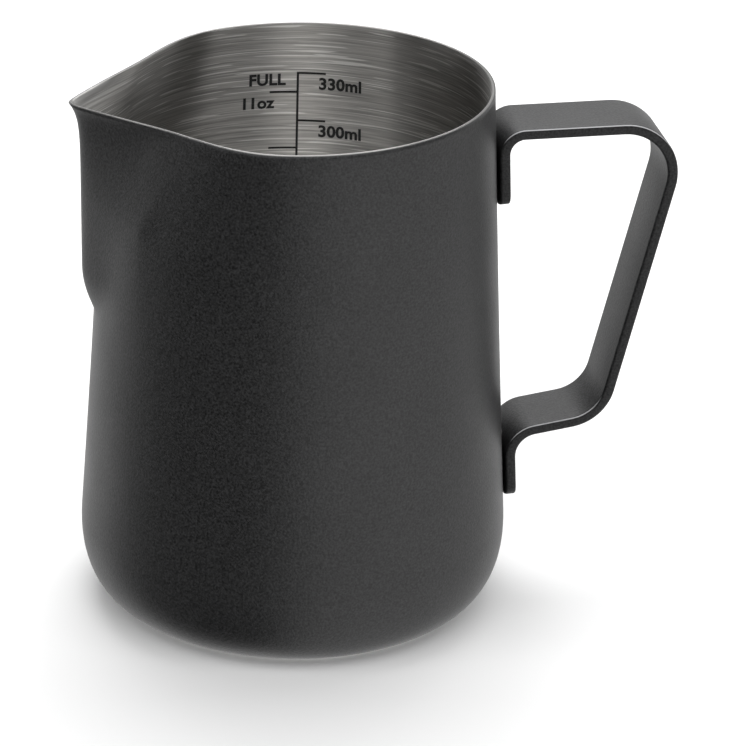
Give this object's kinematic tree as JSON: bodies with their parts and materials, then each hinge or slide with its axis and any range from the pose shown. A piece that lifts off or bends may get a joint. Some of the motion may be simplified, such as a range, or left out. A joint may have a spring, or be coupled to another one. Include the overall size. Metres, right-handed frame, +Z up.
{
  "type": "milk frothing pitcher",
  "caption": "Open milk frothing pitcher: a tapered drawn-steel cup with a pressed V spout, black outside and bare steel inside, and a bent strap handle welded on opposite the spout.",
  "frame": {"origin": "on the cup's axis, on the plane that the foot ring stands on", "axes": "+Z up along the cup's axis, +X from the axis to the handle with the spout at -X, +Y across"},
  "size_m": [0.1064, 0.076, 0.096],
  "materials": {
    "bare_steel": "stainless steel, brushed round the inside, bare at the rim and under the foot",
    "black_coating": "matte black coating with a fine grain",
    "handle_coating": "matte black coating with a fine grain",
    "weld_steel": "resistance weld nuggets, as welded",
    "scale_ink": "dark printed marks"
  },
  "bodies": {
    "root": {"body_shell": "bare_steel", "outer_coating": "black_coating", "handle_strap": "handle_coating", "upper_spot_welds": "weld_steel", "lower_spot_welds": "weld_steel", "volume_scale": "scale_ink"}
  },
  "joints": []
}
